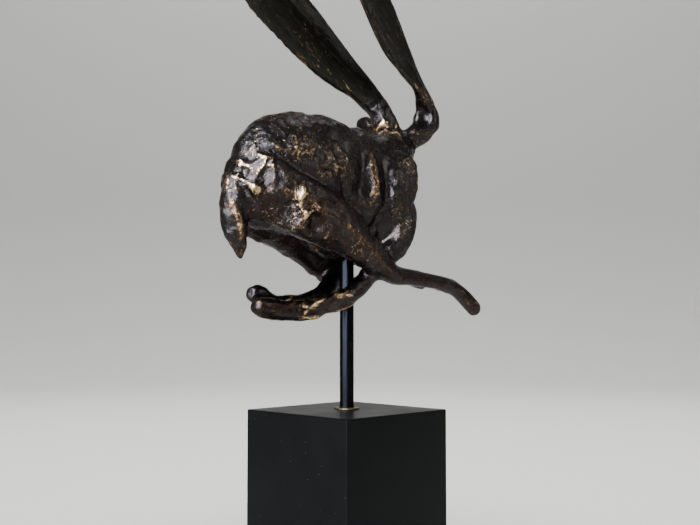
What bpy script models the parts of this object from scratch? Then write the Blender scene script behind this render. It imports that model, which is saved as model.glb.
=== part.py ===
"""A cast bronze hare at full gallop, held up by a slim steel rod on a square black plinth."""

import math

import bmesh
import bpy
import numpy as np
from mathutils import Matrix, Vector

# Driving dimensions, in metres
PLINTH_SIDE = 0.100
PLINTH_HEIGHT = 0.100
PLINTH_EDGE_BEVEL = 0.0006
ROD_DIAMETER = 0.010
ROD_TIP_BEVEL = 0.0008
ROD_CLEAR_LENGTH = 0.105      # from the plinth's top to the hare's belly
ROD_DEPTH_IN_PLINTH = 0.040
ROD_DEPTH_IN_HARE = 0.030
WASHER_DIAMETER = 0.018
WASHER_THICKNESS = 0.0012
HARE_HEIGHT = 0.295           # from the lower forepaw to the tip of the left ear
FIT_GAP = 0.0003              # air left between pieces that touch

# The hare is drawn in its own units, with the point where the rod enters the belly at zero.
# It heads along +X, its right side is at -Y, and its height is this many units.
HARE_UNITS = 295.0
UNIT = HARE_HEIGHT / HARE_UNITS
HARE_ORIGIN = Vector((0.0, 0.0, PLINTH_HEIGHT + ROD_CLEAR_LENGTH))

# Surface steps, in hare units
VOXEL = 1.5
SMOOTH_STEPS = 7
HARE_TRIANGLES = 7200
RING_SIDES = 20
RING_SPACING = 3.0
ROUND_SIDES = 32

RIGHT = -1
LEFT = 1
SIDEWAYS = (0.0, 1.0, 0.0)


def clear_scene():
    for old in list(bpy.data.objects):
        bpy.data.objects.remove(old, do_unlink=True)


def new_collection(name):
    group = bpy.data.collections.new(name)
    bpy.context.scene.collection.children.link(group)
    return group


def principled(name, colour, roughness, metallic):
    material = bpy.data.materials.new(name)
    material.use_nodes = True
    shader = material.node_tree.nodes["Principled BSDF"]
    shader.inputs["Base Color"].default_value = (*colour, 1.0)
    shader.inputs["Roughness"].default_value = roughness
    shader.inputs["Metallic"].default_value = metallic
    return material


def new_object(name, mesh, group, material=None):
    body = bpy.data.objects.new(name, mesh)
    group.objects.link(body)
    if material:
        mesh.materials.append(material)
    return body


def mesh_of(bm, name):
    mesh = bpy.data.meshes.new(name)
    bm.to_mesh(mesh)
    bm.free()
    return mesh


def evaluated_mesh(body):
    depsgraph = bpy.context.evaluated_depsgraph_get()
    return bpy.data.meshes.new_from_object(body.evaluated_get(depsgraph))


# Shapes that the hare is put together from

def smooth_rows(rows, spacing):
    """Rows of a place and its sizes, filled in along one smooth curve through all of them."""
    rows = np.array(rows, dtype=float)
    padded = np.vstack([2 * rows[0] - rows[1], rows, 2 * rows[-1] - rows[-2]])
    filled = []
    for i in range(1, len(rows)):
        before, start, end, after = padded[i - 1:i + 3]
        steps = max(2, round(np.linalg.norm((end - start)[:3]) / spacing))
        for t in np.arange(steps) / steps:
            filled.append(0.5 * (2 * start + (end - before) * t
                                 + (2 * before - 5 * start + 4 * end - after) * t ** 2
                                 + (3 * start - before - 3 * end + after) * t ** 3))
    filled.append(rows[-1])
    return np.array(filled)


def add_limb(bm, rows, flat_side=SIDEWAYS, rim=1.0):
    """A closed loft. Each row is x, y, z, the half size along flat_side, the half size across
    it and, for an ear, how far the two edges are dished towards flat_side. A rim below one
    makes those edges thicker and rounder."""
    rows = smooth_rows([row if len(row) == 6 else (*row, 0.0) for row in rows], RING_SPACING)
    places = rows[:, :3]
    tangents = np.gradient(places, axis=0)
    tangents /= np.linalg.norm(tangents, axis=1)[:, None]
    turns = np.arange(RING_SIDES) * 2 * math.pi / RING_SIDES
    rings = []
    for place, tangent, (half_side, half_across, dish) in zip(places, tangents, rows[:, 3:]):
        side = np.array(flat_side) - np.dot(flat_side, tangent) * tangent
        side /= np.linalg.norm(side)
        across = np.cross(tangent, side)
        rounded = np.sign(np.cos(turns)) * np.abs(np.cos(turns)) ** rim
        along_side = half_side * rounded + dish * np.sin(turns) ** 2
        ring = place + np.outer(along_side, side) + np.outer(half_across * np.sin(turns), across)
        rings.append([bm.verts.new(corner) for corner in ring])
    for low, high in zip(rings, rings[1:]):
        for i in range(RING_SIDES):
            j = (i + 1) % RING_SIDES
            bm.faces.new((low[i], low[j], high[j], high[i]))
    bm.faces.new(reversed(rings[0]))
    bm.faces.new(rings[-1])


def add_mass(bm, centre, half_sizes, pitch=0.0, yaw=0.0):
    """An ellipsoid; pitch lifts its front, and yaw turns it towards the hare's left."""
    place = Matrix.Translation(centre) @ Matrix.Rotation(math.radians(yaw), 4, "Z")
    place = place @ Matrix.Rotation(math.radians(-pitch), 4, "Y") @ Matrix.Diagonal((*half_sizes, 1.0))
    bmesh.ops.create_uvsphere(bm, u_segments=32, v_segments=20, radius=1.0, matrix=place)


# The hare's forms, each in a function of its own

def add_trunk(bm):
    add_mass(bm, (-54, 0, 58), (49, 28, 42), pitch=4)
    add_mass(bm, (-76, 0, 48), (29, 25, 30))
    add_mass(bm, (-28, 0, 65), (48, 25, 36))
    add_mass(bm, (-8, 0, 34), (40, 22, 34))
    add_mass(bm, (8, 0, 53), (33, 23, 45))
    add_mass(bm, (30, 0, 49), (30, 24, 46))
    add_mass(bm, (34, 0, 76), (27, 18, 20))


def add_hind_leg(bm, side, shank_and_foot, toe_spread):
    """The haunch and shank, then the long foot out in front."""
    add_limb(bm, [
        (-90, side * 13, 48, 8, 12),
        (-84, side * 15, 48, 12, 20),
        (-70, side * 18, 44, 15, 27),
        (-52, side * 21, 35, 16, 26),
        (-32, side * 24, 22, 14, 19),
        *[(x, side * y, z, wide, high) for x, y, z, wide, high in shank_and_foot],
    ])
    toes_x, toes_y, toes_z = shank_and_foot[-2][:3]
    for shift in (-toe_spread, toe_spread):
        add_mass(bm, (toes_x + 1, side * toes_y + shift, toes_z), (6, 3.2, 4), pitch=-40)


def add_foreleg(bm, side, rows):
    """The shoulder blade and upper arm, then the forearm swept back under the belly."""
    add_mass(bm, (36, side * 17, 56), (17, 11, 28), pitch=-12)
    add_limb(bm, [(x, side * y, z, wide, high) for x, y, z, wide, high in rows])


def add_tail(bm):
    add_limb(bm, [
        (-88, 0, 60, 9, 9),
        (-99, 0, 46, 10.5, 10),
        (-103, 0, 32, 10.5, 9.5),
        (-102, 0, 20, 9, 8.5),
        (-100, 0, 10.5, 6.5, 6.2),
        (-98, 0, 3, 3.6, 3.6),
        (-97, 0, -2, 1.4, 1.4),
    ])


HEAD_TURN = math.radians(80)     # from the way the hare runs towards its left
HEAD_LIFT = math.radians(14)
SKULL = np.array((60.0, 7.0, 91.0))
FACING = np.array((math.cos(HEAD_TURN) * math.cos(HEAD_LIFT),
                   math.sin(HEAD_TURN) * math.cos(HEAD_LIFT), math.sin(HEAD_LIFT)))
HEAD_RIGHT = np.array((math.sin(HEAD_TURN), -math.cos(HEAD_TURN), 0.0))
HEAD_UP = np.cross(HEAD_RIGHT, FACING)


def on_head(right, forward, up):
    """A place on the turned head, from the middle of its skull."""
    return SKULL + right * HEAD_RIGHT + forward * FACING + up * HEAD_UP


def add_neck_and_head(bm):
    add_limb(bm, [
        (30, 0, 62, 19, 24),
        (40, 0, 72, 17.5, 23),
        (50, 2, 82, 15.5, 19),
        (58, 6, 88, 13.5, 15),
        (61, 9, 90, 9, 10),
    ])
    profile = [
        (-14, -3, 8, 8), (-8, -3, 13, 13), (4, -2, 16.5, 15.5), (18, -1, 17.5, 18.5), (30, -1.5, 16, 18.5),
        (41, -4, 12.5, 15), (50, -6, 10, 12), (57, -7.5, 8.4, 9.6), (62, -8, 4.8, 6),
    ]
    add_limb(bm, [(*on_head(0, forward, up), wide, high) for forward, up, wide, high in profile],
             flat_side=HEAD_RIGHT)
    head_yaw = math.degrees(HEAD_TURN)
    for side in (-1, 1):
        add_mass(bm, on_head(side * 9, 31, 13), (11, 5.5, 6.5), pitch=10, yaw=head_yaw)
        add_mass(bm, on_head(side * 14, 29, 3.5), (6.2, 4.6, 5), yaw=head_yaw)
        add_mass(bm, on_head(side * 9, 20, -8), (15, 8.5, 11), yaw=head_yaw)
        add_mass(bm, on_head(side * 5, 54, -9), (8, 5, 7), yaw=head_yaw)


RIGHT_EAR_CUP = (73.5, -13.0, 114.5)    # the near side of the cup at the right ear's base


def add_ear(bm, rows, opening):
    """An ear from its cup to its tip; opening is the way that its hollow side faces."""
    add_limb(bm, rows, flat_side=opening, rim=0.6)


def add_ears(bm):
    add_ear(bm, [
        (56, 8, 99, 7, 8, 0),
        (49, 9.5, 109, 8, 9.5, 0),
        (44.5, 11, 118, 6.5, 9.4, 0.5),
        (30.2, 15.5, 132.6, 4.2, 11.7, 1.5),
        (6.6, 20.9, 149.4, 3.1, 17.3, 3),
        (-20.7, 27.2, 173.2, 2.6, 20.9, 3.5),
        (-48.6, 33.2, 197.4, 2.4, 21.0, 3.5),
        (-71, 39, 223, 2.1, 15, 2.8),
        (-85, 43, 240, 1.7, 7.5, 1.5),
        (-91, 44.5, 247, 1.0, 2, 0),
    ], (0.336, 0.942, 0.0))
    add_ear(bm, [
        (66, 3, 94, 7, 8, 0),
        (77, -3, 103.5, 8.5, 9, 0),
        (81.8, -5, 112, 10.6, 10, 0),
        (76.5, -7.5, 124, 7.2, 7.5, 0.5),
        (69, -9, 135, 4.2, 6, 0.5),
        (48.5, -12, 149, 3.6, 12.5, 3),
        (20.2, -18.1, 167.1, 2.9, 21.2, 5),
        (-5.7, -23.2, 192.3, 2.6, 21.2, 5),
        (-29, -28.5, 216, 2.3, 15.5, 4),
        (-48, -33, 234, 1.8, 8, 1.5),
        (-55, -34.5, 241, 1.0, 2, 0),
    ], (0.336, -0.942, 0.0))


RIGHT_SHANK_AND_FOOT = [
    (-8, 25, 7, 10.5, 12.5), (10, 24.5, -3, 8, 9), (24, 24, -9.5, 6.8, 7.2),
    (44, 23.5, -11, 6, 6.3), (70, 23, -13.5, 5.8, 6), (92, 22, -17, 5.8, 6),
    (106, 22, -24, 6, 6), (115, 22, -31, 6, 5.5), (121, 22, -37, 3.4, 3),
]
LEFT_SHANK_AND_FOOT = [
    (-10, 24.5, 5, 10.5, 12.5), (4, 23.5, -8, 8, 8.5), (14, 22.5, -15.5, 6.5, 6.5),
    (32, 22, -14, 5, 4.8), (46, 22, -8, 4.8, 4.6), (58, 22, -4.5, 4.8, 4.4),
    (72, 22, -4.5, 5.2, 5.2), (90, 22, -9, 5.6, 5.6), (104, 22, -13, 5.2, 4.8), (110, 22, -15, 3, 2.6),
]
RIGHT_FORELEG = [
    (44, 14, 44, 8, 12), (41, 18, 28, 8, 11), (31, 18.5, 11, 7.5, 9), (14.5, 16.5, -2.5, 6.8, 7.2),
    (1, 15, -15.5, 6.8, 7.2), (-10, 13.5, -23.5, 6.2, 6.8), (-26, 12, -29, 5.8, 6.2),
    (-50, 10, -35, 5.6, 6), (-70, 9.5, -35.5, 6, 6.4), (-83, 9, -34, 7.2, 7.2), (-92, 8.5, -31.5, 4.6, 4.6),
]
LEFT_FORELEG = [
    (44, 14, 44, 8, 12), (40, 18, 28, 8, 11), (29, 18, 12, 7.5, 8.5), (12, 15.5, 1, 6.8, 7),
    (-3, 14, -15, 6.4, 7), (-15, 12.5, -24, 6, 6.6), (-32, 11, -28.5, 5.6, 6.2),
    (-50, 9.5, -30.5, 5.4, 5.8), (-64, 8.5, -29.5, 5.4, 5.6), (-76, 8, -24.5, 6.8, 6.8), (-84, 8, -24, 4.8, 4.8),
]


def follow_path(points, path):
    """Each point's shortest way to a broken line, and how far along the line it meets it, 0 to 1."""
    nearest = np.full(len(points), np.inf)
    along = np.zeros(len(points))
    for i, (start, end) in enumerate(zip(path, path[1:])):
        run = end - start
        share = np.clip((points - start) @ run / (run @ run), 0.0, 1.0)
        distance = np.linalg.norm(points - start - np.outer(share, run), axis=1)
        closer = distance < nearest
        nearest[closer] = distance[closer]
        along[closer] = (i + share[closer]) / (len(path) - 1)
    return nearest, along


def press_line(places, normals, side, path, width, depth):
    """Pushes in, or with a negative depth raises, a line drawn on one flank as x, z places.
    It fades out towards both ends and where the surface turns away from the flank."""
    path = smooth_rows([(x, 0.0, z) for x, z in path], RING_SPACING)[:, [0, 2]]
    distance, along = follow_path(places[:, [0, 2]], path)
    near = np.exp(-(distance / width) ** 2) * np.sin(math.pi * np.clip(along, 0.08, 0.92)) ** 0.7
    facing = np.clip(normals[:, 1] * side * 2.0, 0.0, 1.0)
    on_flank = np.clip((places[:, 1] * side - 6.0) / 6.0, 0.0, 1.0)
    places -= normals * (near * facing * on_flank * depth)[:, None]


def carve_flanks(places, normals):
    """Creases and ridges that part the haunch, the loin, the ribs and the shoulder."""
    for side in (RIGHT, LEFT):
        press_line(places, normals, side, [(-84, 64), (-66, 57), (-48, 48), (-30, 39), (-12, 20)], 5.5, 3.0)
        press_line(places, normals, side, [(-13, 84), (-10, 63), (-11, 44)], 5.0, 1.4)
        press_line(places, normals, side, [(-5, 82), (3, 68), (6, 50), (4, 30)], 4.0, -2.0)
        press_line(places, normals, side, [(11, 82), (18, 62), (17, 44), (14, 30)], 4.5, 2.2)
        press_line(places, normals, side, [(-64, 22), (-56, 23)], 5.5, 2.4)
        press_line(places, normals, side, [(-88, 29), (-75, 31)], 6.0, 2.0)


def press_hollow(places, normals, centre, radius, depth):
    """Pushes in a round hollow."""
    distance = np.linalg.norm(places - np.array(centre), axis=1)
    places -= normals * (np.exp(-(distance / radius) ** 2) * depth)[:, None]


def hare_mesh():
    bm = bmesh.new()
    add_trunk(bm)
    add_hind_leg(bm, RIGHT, RIGHT_SHANK_AND_FOOT, 2.8)
    add_hind_leg(bm, LEFT, LEFT_SHANK_AND_FOOT, 2.4)
    add_foreleg(bm, RIGHT, RIGHT_FORELEG)
    add_foreleg(bm, LEFT, LEFT_FORELEG)
    add_tail(bm)
    add_neck_and_head(bm)
    add_ears(bm)
    return mesh_of(bm, "hare_forms")


def add_modifier(body, name, kind, **settings):
    modifier = body.modifiers.new(name, kind)
    for key, value in settings.items():
        setattr(modifier, key, value)
    return modifier


def make_rod_cutter(group, low, high):
    """The bore for the rod, carried on down so that a thicker rod still clears the legs."""
    bm = bmesh.new()
    radius = ROD_DIAMETER / 2 + FIT_GAP
    bmesh.ops.create_cone(bm, cap_ends=True, segments=ROUND_SIDES, radius1=radius, radius2=radius,
                          depth=high - low, matrix=Matrix.Translation((0, 0, (low + high) / 2)))
    cutter = new_object("rod_bore_cutter", mesh_of(bm, "rod_bore_cutter"), group)
    cutter.hide_render = True
    cutter.display_type = "WIRE"
    return cutter


def make_hare(group, cutters, material):
    forms = new_object("hare_forms", hare_mesh(), group)
    add_modifier(forms, "Fuse", "REMESH", mode="VOXEL", voxel_size=VOXEL)
    add_modifier(forms, "Soften", "SMOOTH", factor=0.5, iterations=SMOOTH_STEPS)
    mesh = evaluated_mesh(forms)
    bpy.data.objects.remove(forms, do_unlink=True)

    places = np.empty(len(mesh.vertices) * 3)
    normals = np.empty(len(mesh.vertices) * 3)
    mesh.vertices.foreach_get("co", places)
    mesh.vertices.foreach_get("normal", normals)
    places = places.reshape(-1, 3)
    carve_flanks(places, normals.reshape(-1, 3))
    press_hollow(places, normals.reshape(-1, 3), RIGHT_EAR_CUP, 8.5, 6.0)
    mesh.vertices.foreach_set("co", (places * UNIT + HARE_ORIGIN).ravel())
    mesh.update()

    hare = new_object("hare", mesh, group, material)
    mesh.name = "hare"
    faces = len(mesh.loop_triangles) or sum(len(face.vertices) - 2 for face in mesh.polygons)
    add_modifier(hare, "Facets", "DECIMATE", ratio=HARE_TRIANGLES / faces)
    belly = HARE_ORIGIN.z
    cutter = make_rod_cutter(cutters, PLINTH_HEIGHT + FIT_GAP, belly + ROD_DEPTH_IN_HARE + FIT_GAP)
    add_modifier(hare, "Rod bore", "BOOLEAN", operation="DIFFERENCE", object=cutter)
    mesh.shade_smooth()
    return hare


def make_rod(group, material):
    length = ROD_DEPTH_IN_PLINTH + ROD_CLEAR_LENGTH + ROD_DEPTH_IN_HARE
    low = PLINTH_HEIGHT - ROD_DEPTH_IN_PLINTH
    bm = bmesh.new()
    bmesh.ops.create_cone(bm, cap_ends=True, segments=ROUND_SIDES, radius1=ROD_DIAMETER / 2,
                          radius2=ROD_DIAMETER / 2, depth=length,
                          matrix=Matrix.Translation((0, 0, low + length / 2)))
    rod = new_object("rod", mesh_of(bm, "rod"), group, material)
    add_modifier(rod, "Ends", "BEVEL", width=ROD_TIP_BEVEL, segments=1, limit_method="ANGLE")
    rod.data.shade_smooth()
    rod.data.set_sharp_from_angle(angle=math.radians(40))
    return rod


def make_washer(group, material):
    """A thin ring round the rod's foot, turned from its outer edge inwards."""
    low = PLINTH_HEIGHT + FIT_GAP
    inner = ROD_DIAMETER / 2 + FIT_GAP
    outer = WASHER_DIAMETER / 2
    top_edge = WASHER_THICKNESS * 0.3
    outline = [(outer - top_edge, low + WASHER_THICKNESS), (outer, low + WASHER_THICKNESS - top_edge),
               (outer, low), (inner, low), (inner, low + WASHER_THICKNESS)]
    bm = bmesh.new()
    corners = [bm.verts.new((x, 0, z)) for x, z in outline]
    for start, end in zip(corners, corners[1:] + corners[:1]):
        bm.edges.new((start, end))
    washer = new_object("washer", mesh_of(bm, "washer"), group, material)
    add_modifier(washer, "Turn", "SCREW", axis="Z", steps=ROUND_SIDES, render_steps=ROUND_SIDES,
                 use_merge_vertices=True, merge_threshold=0.00001)
    return washer


def make_plinth(group, cutters, material):
    bm = bmesh.new()
    bmesh.ops.create_cube(bm, size=1.0, matrix=Matrix.Translation((0, 0, PLINTH_HEIGHT / 2))
                          @ Matrix.Diagonal((PLINTH_SIDE, PLINTH_SIDE, PLINTH_HEIGHT, 1.0)))
    plinth = new_object("plinth", mesh_of(bm, "plinth"), group, material)
    add_modifier(plinth, "Edges", "BEVEL", width=PLINTH_EDGE_BEVEL, segments=2, limit_method="ANGLE")
    low = PLINTH_HEIGHT - ROD_DEPTH_IN_PLINTH - FIT_GAP
    cutter = make_rod_cutter(cutters, low, PLINTH_HEIGHT + WASHER_THICKNESS)
    add_modifier(plinth, "Rod bore", "BOOLEAN", operation="DIFFERENCE", object=cutter)
    return plinth


def main():
    clear_scene()
    group = new_collection("hare_sculpture")
    cutters = new_collection("cutters")
    bronze = principled("patinated_bronze", (0.075, 0.045, 0.025), 0.32, 1.0)
    steel = principled("blued_steel", (0.020, 0.026, 0.034), 0.38, 0.9)
    brass = principled("dull_brass", (0.11, 0.09, 0.055), 0.5, 1.0)
    lacquer = principled("black_lacquer", (0.008, 0.010, 0.012), 0.42, 0.0)
    make_plinth(group, cutters, lacquer)
    make_washer(group, brass)
    make_rod(group, steel)
    make_hare(group, cutters, bronze)


main()
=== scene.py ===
"""A waxed cast bronze hare at full gallop, on a blackened steel rod and a black lacquered plinth."""

import math

import bmesh
import bpy
import numpy as np
from bpy.props import FloatProperty, FloatVectorProperty, IntProperty, PointerProperty
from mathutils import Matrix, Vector


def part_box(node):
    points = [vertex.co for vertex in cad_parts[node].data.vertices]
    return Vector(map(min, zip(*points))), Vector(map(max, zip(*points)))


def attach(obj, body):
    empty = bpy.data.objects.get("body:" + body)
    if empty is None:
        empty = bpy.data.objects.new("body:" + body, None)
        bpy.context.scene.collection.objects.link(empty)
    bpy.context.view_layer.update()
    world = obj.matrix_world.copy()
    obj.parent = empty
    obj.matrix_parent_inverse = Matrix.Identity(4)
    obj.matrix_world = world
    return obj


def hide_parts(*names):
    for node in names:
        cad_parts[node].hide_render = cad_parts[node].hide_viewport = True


bl_info = {
    "name": "Bronze hare",
    "version": (1, 0, 0),
    "blender": (4, 5, 0),
    "location": "View3D > Sidebar > Hare",
    "description": "Finishes a cast bronze hare on its rod and plinth, and sets up a plain studio",
    "category": "Object",
}

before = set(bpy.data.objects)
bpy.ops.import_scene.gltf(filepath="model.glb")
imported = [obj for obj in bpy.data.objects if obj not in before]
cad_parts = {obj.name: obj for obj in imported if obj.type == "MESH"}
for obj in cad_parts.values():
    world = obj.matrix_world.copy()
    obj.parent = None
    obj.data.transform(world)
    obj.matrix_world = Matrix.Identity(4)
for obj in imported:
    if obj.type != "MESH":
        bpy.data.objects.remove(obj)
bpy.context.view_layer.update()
BODY = "root"
MM = 0.001


def srgb(code):
    """A linear colour from an sRGB hex value."""
    parts = [int(code[i:i + 2], 16) / 255 for i in (1, 3, 5)]
    return tuple(c / 12.92 if c <= 0.04045 else ((c + 0.055) / 1.055) ** 2.4 for c in parts)


def colour(name, description, code):
    """A colour setting, given as an sRGB hex value."""
    return FloatVectorProperty(name=name, description=description, subtype="COLOR", size=3,
                               min=0.0, max=1.0, default=srgb(code))


def length(name, description, millimetres):
    """A length setting, given in millimetres."""
    return FloatProperty(name=name, description=description, subtype="DISTANCE", unit="LENGTH",
                         default=millimetres * MM)


class HareSettings(bpy.types.PropertyGroup):
    skin_step: length("Skin step", "Size of the faces that the casting's skin is made of", 1.22)
    lump_size: length("Lump size", "Width of the broad thumbed hollows in the modelling", 17.0)
    lump_depth: length("Lump depth", "How deep the broad hollows are", 3.6)
    dab_size: length("Dab size", "Width of the small dabs of clay that the casting keeps", 7.5)
    dab_depth: length("Dab depth", "How far the small dabs stand out", 1.9)
    scoop_size: length("Scoop size", "Width of the scooped marks with sharp rims", 8.5)
    scoop_depth: length("Scoop depth", "How deep the scooped marks are where the clay is rough", 4.4)
    seed: IntProperty(name="Seed", description="Changes where the lumps and dabs fall", default=4)
    patina: colour("Patina", "Dark brown patina in the hollows", "#2a2727")
    warm_patina: colour("Warm patina", "Browner patina on the limbs and the rump", "#281b16")
    thin_patina: colour("Thin patina", "Patina worn thin, with the bronze showing through", "#5e4632")
    ear_patina: colour("Ear patina", "Greener patina on the ears", "#23231d")
    rubbed: colour("Rubbed bronze", "Bare bronze where the patina is rubbed through", "#c0a680")


class StandSettings(bpy.types.PropertyGroup):
    rod_steel: colour("Rod", "Blackened steel of the rod", "#121316")
    rod_cloud: colour("Rod's clouds", "Lighter clouds in the rod's blackening", "#1c1f25")
    brass: colour("Washer", "Dull brass of the ring round the rod", "#5a5238")
    brass_dirt: colour("Washer's dirt", "Dirt in the ring's hollows", "#2a2618")
    lacquer: colour("Lacquer", "Black lacquer of the plinth", "#010305")
    lacquer_cloud: colour("Lacquer's clouds", "Lighter clouds in the lacquer", "#04070a")
    dust: colour("Dust", "Specks of dust on the lacquer", "#8a8a84")
    edge_radius: length("Edge radius", "Rounding of the plinth's edges", 0.3)


class StageSettings(bpy.types.PropertyGroup):
    backdrop: colour("Backdrop", "Pale floor and wall", "#c4c4c0")
    reach: length("Reach", "From the plinth to the backdrop's wall", 2200.0)
    height: length("Height", "Height of the backdrop's wall", 2200.0)
    bend: length("Bend", "Radius of the sweep from the floor to the wall", 500.0)


def settings():
    return bpy.context.scene.bronze_hare


class BronzeHareSettings(bpy.types.PropertyGroup):
    hare: PointerProperty(type=HareSettings)
    stand: PointerProperty(type=StandSettings)
    stage: PointerProperty(type=StageSettings)


# Node trees

# Where a mix node keeps its two colours and its resulting colour
MIX_FIRST, MIX_SECOND, MIX_RESULT = 6, 7, 2


def add_node(tree, kind, inputs=None, **values):
    """One node with its attributes set, and each input given a value or another node's socket."""
    node = tree.nodes.new(kind)
    for key, value in values.items():
        setattr(node, key, value)
    for key, value in (inputs or {}).items():
        if isinstance(value, bpy.types.NodeSocket):
            tree.links.new(value, node.inputs[key])
        else:
            node.inputs[key].default_value = value
    return node


def new_material(name):
    """An empty node material and its tree."""
    material = bpy.data.materials.new(name)
    material.use_nodes = True
    material.node_tree.nodes.clear()
    return material, material.node_tree


def blend_range(tree, value, low, high, to_low=0.0, to_high=1.0):
    """A smooth step from to_low to to_high, while the value goes from low to high."""
    node = add_node(tree, "ShaderNodeMapRange", {0: value, 1: low, 2: high, 3: to_low, 4: to_high},
                    interpolation_type="SMOOTHSTEP")
    return node.outputs[0]


def math_node(tree, operation, first, second=0.0, clamp=False):
    node = add_node(tree, "ShaderNodeMath", {0: first, 1: second}, operation=operation, use_clamp=clamp)
    return node.outputs[0]


def mix_colour(tree, share, first, second):
    """A blend of two colours, each a value or another node's socket."""
    node = add_node(tree, "ShaderNodeMix", {0: share}, data_type="RGBA")
    for socket, value in ((node.inputs[MIX_FIRST], first), (node.inputs[MIX_SECOND], second)):
        if isinstance(value, bpy.types.NodeSocket):
            tree.links.new(value, socket)
        else:
            socket.default_value = (*value, 1.0)
    return node.outputs[MIX_RESULT]


def grain(tree, place, size, detail=3.0, roughness=0.5, distortion=0.0):
    """Noise whose features are about size metres across."""
    node = add_node(tree, "ShaderNodeTexNoise", {"Vector": place, "Scale": 1.0 / size, "Detail": detail,
                                                 "Roughness": roughness, "Distortion": distortion})
    return node.outputs["Fac"]


def finish_shader(tree, shader, bump=None):
    """Joins a shader, and its bump if it has one, to the material's output."""
    if bump:
        tree.links.new(bump, shader.inputs["Normal"])
    add_node(tree, "ShaderNodeOutputMaterial", {"Surface": shader.outputs[0]})


# Materials

def waxed_bronze_patina(look):
    """Cast bronze under a dark brown chemical patina and wax: near black and glossy, thin and
    brown on the limbs, rubbed through to gold on high places and in small flecks."""
    material, tree = new_material("waxed_bronze_patina")

    def read(name, output="Fac"):
        return add_node(tree, "ShaderNodeAttribute", attribute_name=name).outputs[output]

    place = add_node(tree, "ShaderNodeTexCoord").outputs["Object"]
    along = read("grain", "Vector")
    rub, worn, gilt, rough = read("rub"), read("worn"), read("gilt"), read("rough")
    warmth, ear, calm = read("warmth"), read("ear"), read("calm")
    patch = grain(tree, place, 20 * MM, detail=2.0)
    fleck = grain(tree, along, 2.2 * MM, detail=4.0, roughness=0.62, distortion=1.0)
    curl = grain(tree, along, 5.5 * MM, detail=2.5, roughness=0.55, distortion=1.2)
    tone = grain(tree, place, 8 * MM, detail=4.0, roughness=0.6)
    fine = grain(tree, place, 0.9 * MM, detail=3.0)

    # How worn it is: noise, raised on rubbed heights, in worn zones and in broad patches
    spread = math_node(tree, "ADD", blend_range(tree, patch, 0.3, 0.7, -0.06, 0.05),
                       math_node(tree, "MULTIPLY", worn, 0.11))
    flecked = math_node(tree, "ADD", fleck, spread)
    rubbing = math_node(tree, "MULTIPLY", rub, blend_range(tree, rough, 0.0, 1.0, 0.14, 0.36))
    wear = math_node(tree, "ADD", flecked, rubbing)
    off_middle = math_node(tree, "ABSOLUTE", math_node(tree, "SUBTRACT", curl, 0.5))
    curls = math_node(tree, "MULTIPLY", blend_range(tree, off_middle, 0.004, 0.016, 1.0, 0.0),
                      blend_range(tree, flecked, 0.54, 0.66, 0.0, 0.9))
    # Polished ridges carry a solid band of bronze with a ragged edge
    ragged = math_node(tree, "MULTIPLY", math_node(tree, "SUBTRACT", fleck, 0.5), 2.0)
    ridge = math_node(tree, "ADD", gilt, ragged)
    gold = math_node(tree, "MAXIMUM", blend_range(tree, wear, 0.73, 0.85, 0.0, 0.95), curls)
    gold = math_node(tree, "MAXIMUM", gold, blend_range(tree, ridge, 0.45, 0.95, 0.0, 0.95))
    gold = math_node(tree, "MULTIPLY", gold, blend_range(tree, ear, 0.0, 1.0, 1.0, 0.6))
    thin = math_node(tree, "MAXIMUM", blend_range(tree, wear, 0.58, 0.76, 0.0, 0.7),
                     blend_range(tree, ridge, 0.1, 0.6, 0.0, 0.9))

    brown = mix_colour(tree, math_node(tree, "MULTIPLY", blend_range(tree, tone, 0.38, 0.66), warmth),
                       tuple(look.patina), tuple(look.warm_patina))
    brown = mix_colour(tree, math_node(tree, "MULTIPLY", ear, 0.8), brown, tuple(look.ear_patina))
    base = mix_colour(tree, thin, brown, tuple(look.thin_patina))
    base = mix_colour(tree, gold, base, tuple(look.rubbed))
    metal = blend_range(tree, gold, 0.0, 1.0, 0.7, 1.0)
    roughness = math_node(tree, "ADD", blend_range(tree, tone, 0.3, 0.7, 0.16, 0.30),
                          math_node(tree, "MULTIPLY", thin, 0.08))
    # The grain of the cast skin, which is finer than the mesh and nearly gone where it is calm
    relief = math_node(tree, "ADD", math_node(tree, "MULTIPLY", fleck, 0.8),
                       math_node(tree, "MULTIPLY", fine, 0.15))
    relief = math_node(tree, "ADD", relief, math_node(tree, "MULTIPLY", curl, 1.6))
    relief = math_node(tree, "MULTIPLY", relief, blend_range(tree, calm, 0.3, 0.75, 1.0, 0.3))
    bump = add_node(tree, "ShaderNodeBump", {"Strength": 0.7, "Distance": 0.6 * MM, "Height": relief})
    shader = add_node(tree, "ShaderNodeBsdfPrincipled",
                      {"Base Color": base, "Metallic": metal, "Roughness": roughness,
                       "Specular IOR Level": 0.5, "Specular Tint": (0.35, 0.35, 0.35, 1.0)})
    finish_shader(tree, shader, bump.outputs[0])
    return material


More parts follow.
